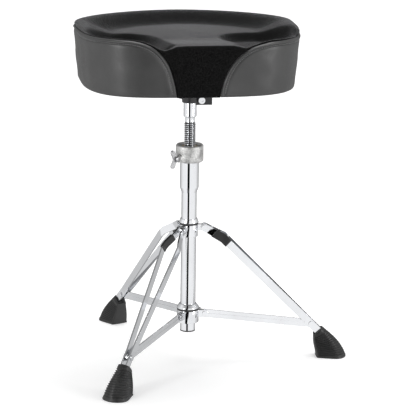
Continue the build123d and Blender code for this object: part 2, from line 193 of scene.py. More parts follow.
def bump(tree, shader, height, strength, distance, below=None):
    """Raises the shader's surface by a texture, over another bump if one is given."""
    node = tree.nodes.new("ShaderNodeBump")
    node.inputs["Strength"].default_value = strength
    node.inputs["Distance"].default_value = distance
    tree.links.new(height, node.inputs["Height"])
    if below is not None:
        tree.links.new(below, node.inputs["Normal"])
    tree.links.new(node.outputs["Normal"], shader.inputs["Normal"])
    return node.outputs["Normal"]


def chrome():
    """Bright plating with faint smears, hairline polishing and a slight waviness."""
    mat, tree, shader = material("chrome", (0.76, 0.77, 0.79), 1.0, 0.06)
    smear = texture(tree, "ShaderNodeTexNoise", 38, 5)
    tree.links.new(spread(tree, smear.outputs["Fac"], 0.035, 0.10), shader.inputs["Roughness"])
    tone = texture(tree, "ShaderNodeTexNoise", 14, 3)
    tree.links.new(tint(tree, tone.outputs["Fac"], (0.72, 0.73, 0.75), (0.80, 0.81, 0.83)),
                   shader.inputs["Base Color"])
    wave = texture(tree, "ShaderNodeTexNoise", 60, 1)
    bump(tree, shader, wave.outputs["Fac"], 0.10, 0.0004)
    return mat


def cast_grey():
    """Sand-cast and tumbled: pale grey grain with dark pits."""
    mat, tree, shader = material("cast_grey", (0.5, 0.5, 0.5), 0.65, 0.42)
    grain = texture(tree, "ShaderNodeTexNoise", 420, 6, Roughness=0.7)
    patch = texture(tree, "ShaderNodeTexNoise", 75, 4)
    pits = texture(tree, "ShaderNodeTexVoronoi", 380)
    mix = tree.nodes.new("ShaderNodeMath")
    mix.operation = "MULTIPLY_ADD"
    mix.inputs[1].default_value = 0.55
    tree.links.new(grain.outputs["Fac"], mix.inputs[0])
    half = tree.nodes.new("ShaderNodeMath")
    half.operation = "MULTIPLY"
    half.inputs[1].default_value = 0.45
    tree.links.new(patch.outputs["Fac"], half.inputs[0])
    tree.links.new(half.outputs[0], mix.inputs[2])
    tree.links.new(tint(tree, mix.outputs[0], (0.20, 0.20, 0.20), (0.66, 0.66, 0.65), 0.38, 0.58),
                   shader.inputs["Base Color"])
    tree.links.new(spread(tree, grain.outputs["Fac"], 0.32, 0.55), shader.inputs["Roughness"])
    rough = bump(tree, shader, grain.outputs["Fac"], 0.45, 0.0006)
    bump(tree, shader, pits.outputs["Distance"], 0.35, 0.0006, rough)
    return mat


def plated_casting():
    """Chrome over a plain casting: softer than the tubes, and a little grey."""
    mat, tree, shader = material("plated_casting", (0.5, 0.5, 0.51), 1.0, 0.28)
    skin = texture(tree, "ShaderNodeTexNoise", 260, 4)
    tree.links.new(tint(tree, skin.outputs["Fac"], (0.42, 0.42, 0.43), (0.58, 0.58, 0.59)),
                   shader.inputs["Base Color"])
    tree.links.new(spread(tree, skin.outputs["Fac"], 0.22, 0.36), shader.inputs["Roughness"])
    bump(tree, shader, skin.outputs["Fac"], 0.2, 0.0004)
    return mat


def thread_root_painted_shade():
    """Painted shade for the bottom of the thread: near black, standing in for the shadow deep in
    its groove.
    """
    mat, tree, shader = material("thread_root_painted_shade", (0.03, 0.03, 0.03), 0.3, 0.35)
    gloss_patches = texture(tree, "ShaderNodeTexNoise", 200, 3)
    tree.links.new(spread(tree, gloss_patches.outputs["Fac"], 0.25, 0.5), shader.inputs["Roughness"])
    return mat


def brushed_steel():
    """Plain steel with fine drawn lines."""
    mat, tree, shader = material("steel", (0.55, 0.55, 0.56), 1.0, 0.3)
    lines = texture(tree, "ShaderNodeTexNoise", 900, 3, (1, 1, 0.05))
    tree.links.new(spread(tree, lines.outputs["Fac"], 0.22, 0.42), shader.inputs["Roughness"])
    bump(tree, shader, lines.outputs["Fac"], 0.1, 0.0002)
    return mat


def brass():
    """Brass, dulled in patches."""
    mat, tree, shader = material("brass", (0.62, 0.45, 0.20), 1.0, 0.3)
    dull = texture(tree, "ShaderNodeTexNoise", 120, 4)
    tree.links.new(tint(tree, dull.outputs["Fac"], (0.45, 0.31, 0.13), (0.72, 0.54, 0.26)),
                   shader.inputs["Base Color"])
    tree.links.new(spread(tree, dull.outputs["Fac"], 0.22, 0.45), shader.inputs["Roughness"])
    return mat


def moulded(name, colour, roughness, scale, strength):
    """Rubber, nylon or powder coat: near black with a fine moulded or orange-peel skin."""
    mat, tree, shader = material(name, colour, 0.0, roughness)
    skin = texture(tree, "ShaderNodeTexNoise", scale, 3)
    dust = texture(tree, "ShaderNodeTexNoise", 45, 4)
    pale = tuple(c * 1.7 for c in colour)
    tree.links.new(tint(tree, dust.outputs["Fac"], colour, pale), shader.inputs["Base Color"])
    tree.links.new(spread(tree, dust.outputs["Fac"], roughness * 0.85, roughness * 1.15),
                   shader.inputs["Roughness"])
    bump(tree, shader, skin.outputs["Fac"], strength, 0.0003)
    return mat


def velour():
    """Short black pile: dark face on, paler at a grazing angle, brushed in soft patches."""
    mat, tree, shader = material("velour", (0.006, 0.006, 0.006), 0.0, 0.9, Specular_IOR_Level=0.04,
                                 Sheen_Weight=0.5, Sheen_Roughness=0.28,
                                 Sheen_Tint=(0.85, 0.85, 0.87, 1))
    nap = texture(tree, "ShaderNodeTexNoise", 30, 5, Roughness=0.6)
    fleck = texture(tree, "ShaderNodeTexNoise", 520, 4, Roughness=0.7)
    tree.links.new(tint(tree, fleck.outputs["Fac"], (0.001, 0.001, 0.001), (0.010, 0.010, 0.010),
                        0.40, 0.64),
                   shader.inputs["Base Color"])
    soft = bump(tree, shader, nap.outputs["Fac"], 0.3, 0.003)
    bump(tree, shader, fleck.outputs["Fac"], 0.7, 0.0012, soft)
    return mat


def vinyl():
    """Dark grey coated cloth with a fine leather grain."""
    mat, tree, shader = material("vinyl", (0.05, 0.05, 0.05), 0.0, 0.42, Specular_IOR_Level=0.5)
    grain = texture(tree, "ShaderNodeTexVoronoi", 620, Randomness=1.0)
    crease = texture(tree, "ShaderNodeTexNoise", 240, 5)
    cloud = texture(tree, "ShaderNodeTexNoise", 16, 3)
    tree.links.new(tint(tree, cloud.outputs["Fac"], (0.028, 0.028, 0.028), (0.038, 0.038, 0.038)),
                   shader.inputs["Base Color"])
    tree.links.new(spread(tree, crease.outputs["Fac"], 0.31, 0.42), shader.inputs["Roughness"])
    fine = bump(tree, shader, crease.outputs["Fac"], 0.12, 0.0004)
    bump(tree, shader, grain.outputs["Distance"], 0.16, 0.0004, fine)
    return mat


def thread_yarn():
    """Twisted grey sewing thread."""
    mat, tree, shader = material("stitch_thread", (0.10, 0.10, 0.10), 0.0, 0.6, Sheen_Weight=0.3)
    twist = texture(tree, "ShaderNodeTexNoise", 1800, 2)
    tree.links.new(tint(tree, twist.outputs["Fac"], (0.06, 0.06, 0.06), (0.16, 0.16, 0.16)),
                   shader.inputs["Base Color"])
    bump(tree, shader, twist.outputs["Fac"], 0.5, 0.0003)
    return mat


def dust_cloth():
    """Thin non-woven black cloth."""
    mat, tree, shader = material("dust_cloth", (0.02, 0.02, 0.02), 0.0, 0.95)
    fibre = texture(tree, "ShaderNodeTexNoise", 700, 6, Roughness=0.75)
    tree.links.new(tint(tree, fibre.outputs["Fac"], (0.012, 0.012, 0.012), (0.04, 0.04, 0.04)),
                   shader.inputs["Base Color"])
    bump(tree, shader, fibre.outputs["Fac"], 0.5, 0.0004)
    return mat


def plywood():
    """Pale birch with stretched grain."""
    mat, tree, shader = material("plywood", (0.5, 0.36, 0.22), 0.0, 0.6)
    rings = texture(tree, "ShaderNodeTexNoise", 30, 5, (1, 14, 60))
    tree.links.new(tint(tree, rings.outputs["Fac"], (0.36, 0.24, 0.13), (0.60, 0.45, 0.28)),
                   shader.inputs["Base Color"])
    bump(tree, shader, rings.outputs["Fac"], 0.2, 0.0003)
    return mat


def foam():
    """Cream moulded foam with open cells."""
    mat, tree, shader = material("foam", (0.62, 0.58, 0.45), 0.0, 0.95)
    cells = texture(tree, "ShaderNodeTexVoronoi", 900)
    tree.links.new(tint(tree, cells.outputs["Distance"], (0.5, 0.46, 0.34), (0.7, 0.66, 0.52)),
                   shader.inputs["Base Color"])
    bump(tree, shader, cells.outputs["Distance"], 0.5, 0.0005)
    return mat


FINISHES = {
    "chrome": chrome(),
    "cast_grey": cast_grey(),
    "steel": brushed_steel(),
    "brass": brass(),
    "black_rubber": moulded("black_rubber", (0.009, 0.009, 0.009), 0.42, 600, 0.35),
    "black_nylon": moulded("black_nylon", (0.010, 0.010, 0.011), 0.36, 900, 0.2),
    "black_steel": moulded("black_steel", (0.010, 0.010, 0.011), 0.32, 500, 0.3),
    "velour": velour(),
    "vinyl": vinyl(),
    "foam": foam(),
    "plywood": plywood(),
    "dust_cloth": dust_cloth(),
}
YARN = thread_yarn()
WING = plated_casting()
# painted shade for the bottom of the thread's groove
ROOT_SHADE = thread_root_painted_shade()

# ---- CAD nodes: a material by slot, and rounded edges on the metal pieces ----

WELD_GAP = 0.00001  # metres
BEVEL_STEPS = 2
SHARP_ANGLE = 40  # degrees
SHARP_EDGE = {"bar": 0.45, "hub": 0.35, "cap": 0.35, "collar": 0.4, "plate": 0.4, "clamp": 0.3,
              "wing": 0.7, "rivet": 0.35, "pin": 0.25, "sleeve": 0.4}
for part in frame["record"]["subparts"]:
    node = frame["nodes"][part["node"]]
    node.data.materials.clear()
    node.data.materials.append(WING if "wing" in part["node"] else FINISHES[part["material_slot"]])
    width = next((w for word, w in SHARP_EDGE.items() if word in part["node"]), None)
    if width is None or part["node"] == "tube_end_cap":
        continue
    weld = node.modifiers.new("weld", "WELD")
    weld.merge_threshold = WELD_GAP
    edge = node.modifiers.new("edge", "BEVEL")
    edge.width = width * MM
    edge.segments = BEVEL_STEPS
    edge.limit_method = "ANGLE"
    edge.angle_limit = math.radians(SHARP_ANGLE)
    edge.harden_normals = True


# ---- seat: plan, seam line and heights, in millimetres with the nose along -Y ----

SEAT_TURN = math.radians(8)
SEAT_SHIFT = -6.5
BOTTOM_Z = 554.0
HALF_WIDTH, WIDEST_Y = 205.3, 60.0
FRONT_REACH, FRONT_POWER = 222.0, 3.6
BACK_REACH, BACK_POWER = 137.0, 1.75
FLARE = 8.0 / 111.0
MID_GROW = 4.0  # the side's flare half way up
MIDDLE = np.array([0.0, 20.0])
EDGE_ROUND = 8.0
TURN_STEP = 1e-4


def plan(angle, grow):
    """The seat's outline grown by some millimetres, at polar angles."""
    c, s = np.cos(angle), np.sin(angle)
    reach = np.where(s > 0, BACK_REACH, FRONT_REACH) + grow
    power = np.where(s > 0, BACK_POWER, FRONT_POWER)
    k = (np.abs(c) ** power + np.abs(s) ** power) ** (-1 / power)
    return np.stack([(HALF_WIDTH + grow) * k * c, WIDEST_Y + reach * k * s], -1)


fine = np.linspace(-math.pi / 2, 1.5 * math.pi, 6001)
run = lengths_along(plan(fine, MID_GROW))
ROUND_TRIP = run[-1]
HALF_TRIP = ROUND_TRIP / 2


def columns(gaps):
    """Places round the rim from the nose's middle, closer together where the seam is steep."""
    out = [0.0]
    while True:
        gap = next(g for limit, g in gaps if out[-1] < limit)
        if out[-1] + gap > HALF_TRIP - gap * 0.6:
            break
        out.append(out[-1] + gap)
    out = np.array(out)
    return np.concatenate([[-HALF_TRIP], -out[:0:-1], out, [HALF_TRIP]])


S = columns([(36, 4.0), (76, 1.3), (145, 2.4), (1e9, 5.0)])
ANGLE = np.interp(np.mod(S, ROUND_TRIP), run, fine)
TANGENT = plan(ANGLE + TURN_STEP, MID_GROW) - plan(ANGLE - TURN_STEP, MID_GROW)
NORMAL = np.stack([TANGENT[:, 1], -TANGENT[:, 0]], -1)
NORMAL /= np.linalg.norm(NORMAL, axis=1)[:, None]

# (place round the rim, height) of the seam between velour and vinyl, and of the top's edge
FLAP = (-41.5, 41.5)
SEAM = [(-HALF_TRIP, 658), (-330, 658.5), (-220, 660), (-165, 661.5), (-130, 661), (-111, 658.5),
        (-93, 652.5), (-76, 641), (-64, 627), (-54.5, 609), (-47.5, 586), (-43.5, 568),
        (FLAP[0], 554.5), (FLAP[1], 554.5), (43.6, 570), (48.5, 588.5), (60, 612.7), (71, 627),
        (85.5, 639), (100, 647), (119, 652.5), (145, 656), (180, 656), (230, 654), (330, 656),
        (HALF_TRIP, 658)]
RIM = [(-HALF_TRIP, 666), (-390, 666), (-330, 664), (-270, 661.5), (-215, 661.5), (-165, 663),
       (-130, 662.5), (-108, 660), (-90, 654), (-76, 647), (-64, 643.5), (-52, 646.5), (-40, 650.5),
       (0, 651.5), (62, 651.5), (74, 649.5), (88, 646.5), (104, 651), (122, 656), (145, 659),
       (180, 658.5), (225, 656.5), (250, 660), (275, 664.5), (315, 666), (360, 666),
       (HALF_TRIP, 666)]
LOW = through(SEAM, S)
LOW[(S > FLAP[0]) & (S < FLAP[1])] = BOTTOM_Z
TOP = through(RIM, S)

# the edge of the hollow that each thigh lies in, from the nose's front back and out to the side
LEFT_SCOOP = [(-40, -200), (-42, -166), (-47, -121), (-55, -62), (-66, -20), (-86, 12), (-116, 30),
              (-150, 22), (-184, -4), (-212, -50)]
RIGHT_SCOOP = [(84, -200), (80, -166), (73, -121), (60, -74), (50, -30), (72, 8), (108, 26),
               (150, 24), (184, 0), (212, -40)]
LEFT_CORNER, RIGHT_CORNER = (-300, -300), (300, -300)
SCOOP_DEPTH = 14.0
SCOOP_WIDTH = 27.0
SCOOP_FADE = 14.0
PLATEAU_Z = 645.5
NOSE_RISE = 6.0
CROWN = 2.2
FRONT_BAND, BACK_BAND = 26.0, 70.0  # how far in from the edge the rim's height is felt


def smooth_line(points, count=120):
    """Points along a rounded version of a broken line."""
    p = np.array(points, float)
    for _ in range(3):
        q = np.empty((2 * len(p) - 2, 2))
        q[0::2] = 0.75 * p[:-1] + 0.25 * p[1:]
        q[1::2] = 0.25 * p[:-1] + 0.75 * p[1:]
        p = np.vstack([p[:1], q, p[-1:]])
    d = lengths_along(p)
    at = np.linspace(0, d[-1], count)
    return np.stack([np.interp(at, d, p[:, 0]), np.interp(at, d, p[:, 1])], -1)


def distance_to(line, points):
    """The distance of each point from a line of points."""
    best = np.full(len(points), 1e9)
    for a, b in zip(line[:-1], line[1:]):
        ab = b - a
        t = np.clip(((points - a) @ ab) / (ab @ ab), 0, 1)
        best = np.minimum(best, np.linalg.norm(points - a - t[:, None] * ab, axis=1))
    return best


def inside(polygon, points):
    """Whether each point is inside a closed polygon."""
    odd = np.zeros(len(points), bool)
    a = polygon
    b = np.roll(polygon, -1, axis=0)
    for (x0, y0), (x1, y1) in zip(a, b):
        if y0 == y1:
            continue
        cross = (y0 > points[:, 1]) != (y1 > points[:, 1])
        at = x0 + (points[:, 1] - y0) / (y1 - y0) * (x1 - x0)
        odd ^= cross & (points[:, 0] < at)
    return odd


def scoop(points, line, corner):
    """How far a thigh hollow drops the top at each point."""
    edge = smooth_line(line)
    region = np.vstack([edge, [corner]])
    q = np.where(inside(region, points), distance_to(edge, points), 0.0)
    t = np.clip(q / SCOOP_WIDTH, 0, 1)
    return SCOOP_DEPTH * (0.55 * smoothstep(t) + 0.45 * (1 - (1 - t) ** 2))


def top_height(points, s, edge_gap):
    """The height of the dished top at plan points, from the rim's height above each column."""
    rim = through(RIM, s)
    band = FRONT_BAND + (BACK_BAND - FRONT_BAND) * smoothstep((np.abs(s) - 210.0) / 120.0)
    w = smoothstep(1 - edge_gap / band)
    x, y = points[:, 0], points[:, 1]
    rise = NOSE_RISE * smoothstep((-y - 40.0) / 110.0)
    crown = CROWN * np.exp(-((x / 70.0) ** 2) - ((y - 40.0) / 90.0) ** 2)
    level = PLATEAU_Z + rise + crown
    drop = scoop(points, LEFT_SCOOP, LEFT_CORNER) + scoop(points, RIGHT_SCOOP, RIGHT_CORNER)
    drop *= 1 - smoothstep(1 - edge_gap / SCOOP_FADE)
    return level + (rim - level) * w - drop


def at_wall(s_index, z, out=0.0):
    """The point on the seat's side in a column, at a height, standing out by some millimetres."""
    z = np.asarray(z, float)
    corner = TOP[s_index] - EDGE_ROUND
    over = np.clip((z - corner) / EDGE_ROUND, 0, 0.999)
    inset = EDGE_ROUND * (1 - np.sqrt(1 - over**2))
    flat = plan(ANGLE[s_index], (z - BOTTOM_Z) * FLARE)
    flat = flat + NORMAL[s_index] * (out - inset)[..., None]
    return np.concatenate([flat, z[..., None]], -1)


def to_row_frame(points):
    """Seat millimetres to the row frame's millimetres."""
    p = np.asarray(points, float)
    x = p[..., 0] + SEAT_SHIFT
    c, s = math.cos(SEAT_TURN), math.sin(SEAT_TURN)
    return np.stack([x * c - p[..., 1] * s, x * s + p[..., 1] * c, p[..., 2]], -1)


def relax(z, times):
    """Softens a grid of heights whose rows are rings."""
    for _ in range(times):
        inner = 0.25 * (z[:-2] + z[2:] + np.roll(z[1:-1], 1, 1) + np.roll(z[1:-1], -1, 1))
        z[1:-1] = 0.5 * z[1:-1] + 0.5 * inner
    return z


def seam_line(start, end, count=700):
    """(place, height) points along the seam."""
    places = np.linspace(start, end, count)
    return np.stack([places, through(SEAM, places)], -1)


left_seam = seam_line(-HALF_TRIP, FLAP[0])
right_seam = seam_line(FLAP[1], HALF_TRIP)


def seam_gap(s, z):
    """The distance along the side from each (place, height) to the seam."""
    points = np.stack([s, z], -1)
    return np.minimum(distance_to(left_seam, points), distance_to(right_seam, points))


def soft_noise(x, y, z, size):
    """A slow, repeatable ripple for padding, from -1.5 to 1.5."""
    k = 2 * math.pi / size
    long_wave = np.sin(k * x + 1.7 * np.sin(k * y * 0.7 + 0.6))
    cross_wave = np.cos(k * z * 0.9 + 0.8 * np.sin(k * x * 0.6 + 2.1))
    return long_wave * cross_wave + 0.5 * np.sin(k * 1.9 * y + 1.3 * np.cos(k * 1.3 * x))


# ---- seat: the velour top, with its flap down the front ----

WALL_ROWS = 15
ROUND_ROWS = 7
RING_ROWS = 62
TUCK_DEPTH = 3.0
PUFF_HEIGHT = 1.5
RELAX_TIMES = 5
# (inset, rise) of the flap's rows that turn under the board
HEM = [(0.0, 0.0), (1.2, -0.4), (4.0, 0.2), (9.0, 1.6), (34.0, 2.2)]


def velour_top():
    """The cover's points and faces: side, rounded edge, dished top and the flap's hem."""
    cols = len(S)
    index = np.arange(cols)
    rows = []
    for k in range(WALL_ROWS + ROUND_ROWS):
        if k < WALL_ROWS:
            f = (k / WALL_ROWS) ** 1.35
            foot = np.minimum(LOW, TOP - EDGE_ROUND * 0.5)
            shoulder = np.maximum(TOP - EDGE_ROUND, foot)
            z = foot + (shoulder - foot) * f
        else:
            corner = TOP - EDGE_ROUND
            a0 = np.arcsin(np.clip((np.maximum(LOW, corner) - corner) / EDGE_ROUND, 0, 0.5))
            share = (k - WALL_ROWS) / ROUND_ROWS
            z = corner + EDGE_ROUND * np.sin(a0 + (math.pi / 2 - a0) * share)
        gap = seam_gap(S, np.minimum(z, TOP))
        in_flap = (S > FLAP[0]) & (S < FLAP[1])
        puff = PUFF_HEIGHT * smoothstep(gap / 7) * (1 - smoothstep((gap - 12) / 40))
        hug = np.where(in_flap, smoothstep((z - BOTTOM_Z) / 14), 1.0)
        rows.append(at_wall(index, z, puff * hug - TUCK_DEPTH * np.exp(-gap)))
    base = plan(ANGLE, (TOP - BOTTOM_Z) * FLARE) - NORMAL * EDGE_ROUND
    reach = ((base - MIDDLE) * NORMAL).sum(1)
    rings = []
    for k in range(RING_ROWS):
        rho = 1 - (k / RING_ROWS) ** 0.92
        flat = MIDDLE + (base - MIDDLE) * rho
        z = top_height(flat, S, (1 - rho) * reach)
        rings.append(np.concatenate([flat, z[:, None]], -1))
    stack = np.array(rings)
    stack[:, :-1, 2] = relax(stack[:, :-1, 2].copy(), RELAX_TIMES)
    stack[:, -1, 2] = stack[:, 0, 2]
    rows += list(stack)
    grid = np.array(rows)
    verts = grid.reshape(-1, 3)
    faces = grid_faces(len(rows), cols)
    hub = len(verts)
    centre_z = float(stack[-1][:, 2].mean())
    verts = np.vstack([verts, [[MIDDLE[0], MIDDLE[1], centre_z]]])
    last = (len(rows) - 1) * cols
    faces += [(last + c, last + c + 1, hub) for c in range(cols - 1)]
    # the flap's hem turns under the board
    flap = index[(FLAP[0] - 0.2 < S) & (S < FLAP[1] + 0.2)]
    start = len(verts)
    hem = []
    for inset, rise in HEM:
        row = at_wall(flap, np.full(len(flap), BOTTOM_Z), np.full(len(flap), -inset))
        row[:, 2] += rise
        hem.append(row)
    verts = np.vstack([verts, np.array(hem).reshape(-1, 3)])
    faces += grid_faces(len(hem), len(flap), False, start)
    return to_row_frame(verts), faces


seat_cover = new_piece("seat_velour_top", *velour_top(), FINISHES["velour"], "seat", "velour")
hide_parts("seat_top_cover", "seat_foam")


# ---- seat: the two vinyl side panels, with a rolled top edge and a stitch line ----

STITCH_GAP = 6.8
STITCH_PITCH, STITCH_LENGTH, STITCH_RADIUS = 4.7, 3.4, 0.8
STITCH_START, STITCH_END = 9.0, 6.0  # clear of the seam's ends
STITCH_SINK = 0.75
STITCH_LOWEST = 7.0  # above the seat's bottom
# how far the vinyl stands out, by distance from the seam
ROLL = [(0.0, -0.6), (0.8, 1.1), (1.9, 2.1), (3.2, 2.3), (4.6, 1.5), (5.9, -0.5), (6.8, -1.6),
        (7.8, -0.6), (9.2, 0.6), (12.0, 0.9), (20.0, 0.4), (40.0, 0.0), (900.0, 0.0)]
PANEL_STEPS = [0.0, 0.8, 1.7, 2.7, 3.8, 5.0, 6.0, 6.9, 7.9, 9.2, 11, 13.5, 17, 22, 28, 35, 43, 52,
               61, 70, 79, 87, 94, 100]
BELLY = 1.2
RIPPLE, RIPPLE_SIZE = 0.45, 95.0
# (inset, height) of the rows that turn under the board
PANEL_HEM = [(0.1, 556.6), (0.9, 554.9), (2.6, 554.0), (6.0, 554.3), (12.0, 556.0), (36.0, 556.5)]


def panel(sign):
    """One side panel, from the front flap round to the back seam."""
    if sign > 0:
        index = np.where(S >= FLAP[1] - 0.001)[0]
    else:
        index = np.where(S <= FLAP[0] + 0.001)[0][::-1]
    s = S[index]
    low = np.maximum(LOW[index], BOTTOM_Z + 1.5)
    height = low - BOTTOM_Z - 6.0
    rows = [at_wall(index, low, np.full(len(index), -4.0))]
    for step in PANEL_STEPS:
        share = step / 100.0
        drop = np.where(height > 60, step * (1 - share) + height * share * share, height * share)
        drop = np.clip(drop, 0.0, np.maximum(height, 0.0))
        z = low - drop
        gap = seam_gap(s, z)
        roll = np.interp(gap, *np.array(ROLL).T)
        up = (z - BOTTOM_Z) / (low - BOTTOM_Z)
        belly = BELLY * np.sin(np.clip(up, 0, 1) * math.pi) * smoothstep(height / 60)
        where = plan(ANGLE[index], 0.0)
        ripple = RIPPLE * soft_noise(where[:, 0], where[:, 1], z * 2.2, RIPPLE_SIZE)
        rows.append(at_wall(index, z, roll + belly + ripple * smoothstep(gap / 25)))
    for inset, z in PANEL_HEM:
        rows.append(at_wall(index, np.minimum(z, low - 0.3), np.full(len(index), -inset)))
    grid = np.array(rows)
    return to_row_frame(grid.reshape(-1, 3)), grid_faces(len(rows), len(index))


def stitches(line, side):
    """Places of the stitches along a seam, at a set gap on the vinyl's side."""
    d = lengths_along(line)
    at = np.arange(STITCH_START, d[-1] - STITCH_END, STITCH_PITCH)
    p = np.stack([np.interp(at, d, line[:, 0]), np.interp(at, d, line[:, 1])], -1)
    q = np.stack([np.interp(at + 0.5, d, line[:, 0]), np.interp(at + 0.5, d, line[:, 1])], -1)
    t = (q - p) / np.linalg.norm(q - p, axis=1)[:, None]
    away = np.stack([t[:, 1], -t[:, 0]], -1)
    away *= side
    places = []
    for (s0, z0), (ts, tz), (ns, nz) in zip(p, t, away):
        s1, z1 = s0 + ns * STITCH_GAP, z0 + nz * STITCH_GAP
        if z1 < BOTTOM_Z + STITCH_LOWEST:
            continue
        angle = float(np.interp(s1 % ROUND_TRIP, run, fine))
        ends = plan(angle + np.array([-1e-3, 1e-3]), MID_GROW)
        tangent = ends[1] - ends[0]
        tangent /= np.linalg.norm(tangent)
        normal = np.array([tangent[1], -tangent[0]])
        height = BOTTOM_Z + max(60.0, float(np.interp(s1, S, LOW)) - BOTTOM_Z)
        up = min(max((z1 - BOTTOM_Z) / (height - BOTTOM_Z), 0), 1)
        corner = float(np.interp(s1, S, TOP)) - EDGE_ROUND
        over = min(max((z1 - corner) / EDGE_ROUND, 0), 0.99)
        inset = EDGE_ROUND * (1 - math.sqrt(1 - over * over))
        out = BELLY * math.sin(up * math.pi) - STITCH_SINK - inset
        flat = plan(np.array([angle]), (z1 - BOTTOM_Z) * FLARE)[0] + normal * out
        centre = np.array([flat[0], flat[1], z1])
        along = np.array([tangent[0] * ts, tangent[1] * ts, tz])
        # directions turn with the seat but don't shift with it
        places.append((to_row_frame(centre), to_row_frame(along - [SEAT_SHIFT, 0, 0]),
                       to_row_frame(np.array([normal[0] - SEAT_SHIFT, normal[1], 0.05]))))
    return places


def side_panel(name, sign, line, node):
    """Adds a panel, in place of its CAD node, and its stitching."""
    piece = new_piece(name, *panel(sign), FINISHES["vinyl"], "seat", "vinyl")
    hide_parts(node)
    sewn = capsules(stitches(line, sign), STITCH_LENGTH, STITCH_RADIUS)
    new_piece(name + "_stitching", *sewn, YARN, "seat", "vinyl")


side_panel("seat_vinyl_left", -1, left_seam[::-1], "seat_left_panel")
side_panel("seat_vinyl_right", 1, right_seam, "seat_right_panel")


# ---- under the seat: dust cloth and staples ----

CLOTH_INSET = 9.0
CLOTH_Z = 555.2
CLOTH_THICK = 0.4
CLOTH_SAG = 0.5
CLOTH_SIDES, CLOTH_ROWS = 144, 17
HOLE_X, HOLE_Y, HOLE_POWER = 60.0, 45.0, 10
TACKS = 22  # the puckers between its staples
STAPLES = 2 * TACKS
STAPLE_INSET = CLOTH_INSET + 5.5
STAPLE_Z = CLOTH_Z - 0.35
STAPLE_LENGTH, STAPLE_RADIUS = 10.0, 0.5


def cloth_under():
    """A thin sheet stapled under the board, open round the bracket's plate."""
    angles = np.linspace(0, 2 * math.pi, CLOTH_SIDES, endpoint=False)
    outer = plan(angles, -CLOTH_INSET)
    centre = np.array([-SEAT_SHIFT, 0.0])
    away = outer - centre
    turn = np.arctan2(away[:, 1], away[:, 0])
    c, s = np.cos(turn), np.sin(turn)
    power_sum = np.abs(c / HOLE_X) ** HOLE_POWER + np.abs(s / HOLE_Y) ** HOLE_POWER
    reach = 1 / power_sum ** (1 / HOLE_POWER)
    inner = centre + np.stack([c, s], -1) * reach[:, None]
    verts = []
    for t in np.linspace(0, 1, CLOTH_ROWS):
        flat = inner + (outer - inner) * t
        sag = -CLOTH_SAG * np.sin(math.pi * t)
        pull = 0.22 * np.sin(turn * TACKS) * t**3
        edges = 0.9 * (1 - smoothstep(t * 6)) + 0.5 * smoothstep((t - 0.93) / 0.07)
        z = CLOTH_Z + sag + pull + edges
        verts += list(np.concatenate([flat, z[:, None]], -1))
    return to_row_frame(np.array(verts)), grid_faces(CLOTH_ROWS, CLOTH_SIDES, True)


cloth = new_piece("seat_dust_cloth", *cloth_under(), FINISHES["dust_cloth"], "seat", "dust_cloth")
thick = cloth.modifiers.new("thickness", "SOLIDIFY")
thick.thickness = CLOTH_THICK * MM
thick.offset = 0
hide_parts("seat_dust_cover")

staple_places = []
for k in range(STAPLES):
    a = 2 * math.pi * k / STAPLES
    ends = plan(np.array([a, a + 0.01]), -STAPLE_INSET)
    here, there = to_row_frame(np.column_stack([ends, [STAPLE_Z, STAPLE_Z]]))
    staple_places.append((here, there - here, np.array([0, 0, 1.0])))
new_piece("seat_staples", *capsules(staple_places, STAPLE_LENGTH, STAPLE_RADIUS),
          FINISHES["steel"], "seat", "steel")


# ---- spindle: a real helical thread in place of the CAD's rings ----

THREAD_R, THREAD_DEPTH, THREAD_PITCH = 11.6, 1.7, 4.0
THREAD_START, THREAD_END = 214.5, 475.5
NECK_R, POST_R = 9.2, 12.7
POST_BOTTOM, POST_TOP = 487.5, 549.0
ROOT_R = THREAD_R - THREAD_DEPTH
SPINDLE_BOTTOM = THREAD_START - 0.5
SPINDLE_SIDES = 56
ROWS_A_TURN = 8
CAP_R = 0.5  # of the small face that closes each end
ROOT_SHARE = 0.78  # of the thread's depth, below which faces get the painted shade
# (radius, height) above the thread
TURNED = [(ROOT_R, THREAD_END), (NECK_R + 0.3, THREAD_END + 0.5), (NECK_R, THREAD_END + 1.0),
          (NECK_R, POST_BOTTOM - 2.2), (NECK_R + 0.5, POST_BOTTOM - 1.4),
          (POST_R - 1.3, POST_BOTTOM - 1.0), (POST_R - 0.4, POST_BOTTOM - 0.5),
          (POST_R, POST_BOTTOM + 0.5), (POST_R, POST_BOTTOM + 1.5), (POST_R, POST_TOP - 1.2),
          (POST_R - 0.3, POST_TOP - 0.4), (POST_R - 1.0, POST_TOP), (CAP_R, POST_TOP)]


def spindle():
    """The screw, its neck and the seat post, as rings from the bottom up."""
    turn = np.linspace(0, 2 * math.pi, SPINDLE_SIDES, endpoint=False)
    rows = [(np.full(SPINDLE_SIDES, r), SPINDLE_BOTTOM) for r in (CAP_R, ROOT_R)]
    for z in np.arange(THREAD_START, THREAD_END, THREAD_PITCH / ROWS_A_TURN):
        phase = np.mod(z / THREAD_PITCH - turn / (2 * math.pi), 1.0)
        ridge = np.clip(1.25 - np.abs(phase - 0.5) * 3.9, 0, 1)
        fade = smoothstep((z - THREAD_START) / 3) * smoothstep((THREAD_END - z) / 2.5)
        rows.append((ROOT_R + THREAD_DEPTH * ridge * fade, z))
    rows += [(np.full(SPINDLE_SIDES, r), z) for r, z in TURNED]
    verts = [(r[k] * math.cos(turn[k]), r[k] * math.sin(turn[k]), z)
             for r, z in rows for k in range(SPINDLE_SIDES)]
    faces = grid_faces(len(rows), SPINDLE_SIDES, True)
    faces.append(list(range(SPINDLE_SIDES))[::-1])
    faces.append([len(verts) - SPINDLE_SIDES + k for k in range(SPINDLE_SIDES)])
    return verts, faces


